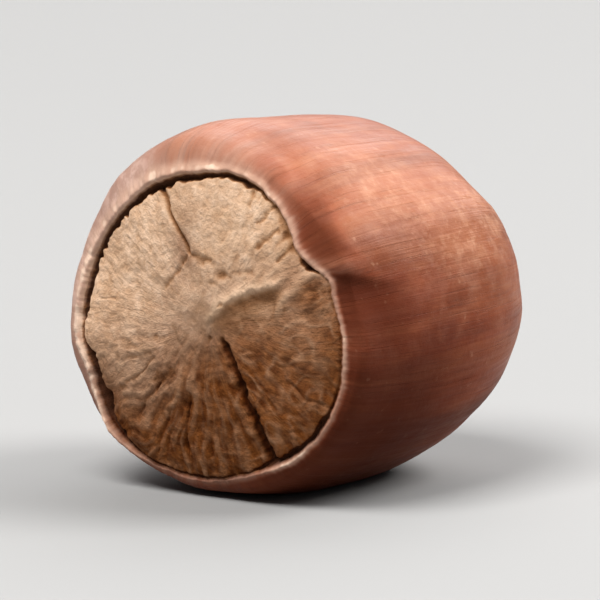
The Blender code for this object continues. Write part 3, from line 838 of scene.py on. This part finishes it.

    # Scar: pale fibres with brown between them, browner towards its lower side, partly as painted shade
    felt = g.noise(place, 1500.0, 5.0, 0.68)
    tan = g.colours(felt, [(0.34, (0.53, 0.322, 0.192)), (0.50, (0.65, 0.427, 0.282)), (0.66, (0.765, 0.542, 0.385))])
    patch = g.noise(place, 240.0, 3.0, 0.55)
    tan = g.mix(g.ramp(patch, 0.42, 0.66, 0.0, 0.45), tan, (0.45, 0.255, 0.138))
    tan = g.mix(g.math("MULTIPLY", pale, 0.75), tan, (0.80, 0.575, 0.400))
    fine = g.noise(g.scaled(fibre, (40.0, 40.0, 16.0)), 1.0, 2.0, 0.6)
    tan = g.mix(g.ramp(fine, 0.54, 0.74, 0.0, 0.09), tan, (0.22, 0.115, 0.055))
    brown = g.mix(g.ramp(felt, 0.32, 0.68), (0.085, 0.021, 0.0040), (0.205, 0.066, 0.0160))
    rays = g.noise(g.scaled(fibre, (15.0, 15.0, 4.5)), 1.0, 4.0, 0.62)
    brown = g.mix(g.ramp(rays, 0.50, 0.68, 0.0, 0.50), brown, (0.062, 0.014, 0.003))
    brown = g.mix(g.ramp(rays, 0.48, 0.32, 0.0, 0.36), brown, (0.30, 0.122, 0.043))
    brown = g.mix(g.math("MULTIPLY", pale, 0.48), brown, (0.35, 0.155, 0.065))
    tan = g.mix(g.math("MULTIPLY", low, g.math("SUBTRACT", 1.0, g.math("MULTIPLY", pale, 0.24))), tan, brown)
    # Painted shade: the scar darkens in its grooves, cracks, hollows and crevice, with some of the cracks' own darker
    # brown.
    tan = g.mix(g.ramp(recess_shade, 0.03, 0.26, 0.0, 0.70), tan, (0.95, 0.80, 0.60), "MULTIPLY")
    tan = g.mix(g.ramp(recess_shade, 0.04, 0.40, 0.0, 0.90), tan, (0.27, 0.170, 0.095), "MULTIPLY")
    tan = g.mix(g.ramp(recess_shade, 0.45, 0.90, 0.0, 0.90), tan, (0.060, 0.021, 0.010))
    g.put(g.shader.inputs["Base Color"], g.mix(scar, shell, tan))

    rough_shell = g.ramp(g.noise(g.scaled(grain, (12.0, 12.0, 3.0)), 1.0, 3.0), 0.3, 0.7, 0.33, 0.44)
    rough_shell = g.math("ADD", rough_shell, g.ramp(bloom, 0.4, 0.7, 0.0, 0.10))
    rough_shell = g.math("ADD", rough_shell, g.ramp(hairlines, 0.40, 0.62, -0.03, 0.06))
    rough_shell = g.math("ADD", rough_shell, g.math("MULTIPLY", painted_shade, 0.45))
    rough_shell = g.math("MAXIMUM", rough_shell, g.ramp(out, 1.8, 0.1, 0.0, 0.70))
    rough_shell = g.math("MAXIMUM", rough_shell, g.ramp(down, 0.0, 1.0, 0.0, 0.8))
    g.put(g.shader.inputs["Roughness"], g.math("MAXIMUM", rough_shell, g.ramp(scar, 0.0, 1.0, 0.0, 0.92)))
    g.shader.inputs["Specular IOR Level"].default_value = shine
    g.shader.inputs["Specular Tint"].default_value = (1.0, 0.68, 0.55, 1.0)

    # Fine grain that the mesh is too coarse to carry
    fine_lines = g.noise(g.scaled(grain, (70.0, 70.0, 2.2)), 1.0, 3.0, 0.6)
    shell_height = g.math("ADD", g.math("MULTIPLY", fine_lines, 0.5), g.math("MULTIPLY", g.noise(place, 2200.0, 4.0, 0.65), 0.6))
    shell_height = g.math("SUBTRACT", shell_height, g.ramp(hairlines, 0.57, 0.68, 0.0, 0.25))
    scar_height = g.math("ADD", g.math("MULTIPLY", g.noise(g.scaled(fibre, (48.0, 48.0, 20.0)), 1.0, 3.0, 0.6), 0.5),
                         g.math("MULTIPLY", g.noise(place, 3000.0, 4.0, 0.68), 1.35))
    height = g.math("ADD", g.math("MULTIPLY", shell_height, g.ramp(scar, 0.0, 1.0, 0.000042, 0.0)),
                    g.math("MULTIPLY", scar_height, g.ramp(scar, 0.0, 1.0, 0.0, 0.00011)))
    bump = g.add("ShaderNodeBump")
    bump.inputs["Strength"].default_value = 1.0
    bump.inputs["Distance"].default_value = 1.0
    g.put(bump.inputs["Height"], height)
    g.put(g.shader.inputs["Normal"], bump.outputs["Normal"])
    return g.material


def floor_material():
    g = Graph("floor_paper")
    place = g.add("ShaderNodeTexCoord").outputs["Object"]
    tone = g.noise(place, 3.0, 2.0)
    g.put(g.shader.inputs["Base Color"], g.mix(tone, (0.283, 0.283, 0.282), (0.292, 0.293, 0.293)))
    g.shader.inputs["Roughness"].default_value = 0.9
    g.shader.inputs["Specular IOR Level"].default_value = 0.1
    return g.material


# ---------------------------------------------------------------------------------------------------------------
# The scene

nut = bpy.data.objects.new("nut", build_nut())
bpy.context.scene.collection.objects.link(nut)
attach(nut, "root")
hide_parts("hazelnut")

floor_mesh = bpy.data.meshes.new("floor")
SIDE, BACK = 1.6, 2.4
floor_mesh.from_pydata([(-SIDE, -SIDE, 0), (SIDE, -SIDE, 0), (SIDE, BACK, 0), (-SIDE, BACK, 0)], [], [(0, 1, 2, 3)])
floor = bpy.data.objects.new("floor", floor_mesh)
floor.location = (0, 0, -0.00002)
bpy.context.scene.collection.objects.link(floor)
floor_mesh.materials.append(floor_material())


def look_at(thing, target):
    thing.rotation_euler = (Vector(target) - thing.location).to_track_quat("-Z", "Y").to_euler()


AZIMUTH, ELEVATION, DISTANCE = 36.3, 9.8, 0.5
TARGET = Vector((-0.0008, -0.0006, 0.0082))
a, e = math.radians(AZIMUTH), math.radians(ELEVATION)
camera_data = bpy.data.cameras.new("camera")
camera = bpy.data.objects.new("camera", camera_data)
camera.location = TARGET + DISTANCE * Vector((math.sin(a) * math.cos(e), -math.cos(a) * math.cos(e), math.sin(e)))
look_at(camera, TARGET)
camera_data.lens = 640
camera_data.sensor_width = 36
camera_data.clip_start = 0.01
bpy.context.scene.collection.objects.link(camera)
bpy.context.scene.camera = camera


def lamp(name, location, target, size, power, colour):
    data = bpy.data.lights.new(name, "AREA")
    data.shape = "SQUARE"
    data.size = size
    data.energy = power
    data.color = colour
    obj = bpy.data.objects.new(name, data)
    obj.location = location
    look_at(obj, target)
    bpy.context.scene.collection.objects.link(obj)
    return obj


right = Vector((math.cos(a), math.sin(a), 0))
front = Vector((math.sin(a), -math.cos(a), 0))
up = Vector((0, 0, 1))
lamp("softbox", -0.18 * right + 0.22 * front + 0.55 * up, (0, 0, 0), 0.34, 5.9, (1.0, 0.985, 0.965))
lamp("back_softbox", 0.14 * right - 0.42 * front + 0.42 * up, (0, 0, 0.01), 0.62, 3.6, (1.0, 0.98, 0.975))
lamp("right_softbox", 0.45 * right - 0.04 * front + 0.44 * up, (0, 0, 0.01), 0.30, 4.6, (1.0, 0.985, 0.965))

world = bpy.data.worlds.new("studio")
world.use_nodes = True
world.node_tree.nodes["Background"].inputs["Color"].default_value = (0.93, 0.965, 1.0, 1.0)
world.node_tree.nodes["Background"].inputs["Strength"].default_value = 0.14
bpy.context.scene.world = world

bpy.context.scene.view_settings.view_transform = "Standard"
bpy.context.scene.view_settings.look = "None"
bpy.context.scene.view_settings.exposure = 0.0
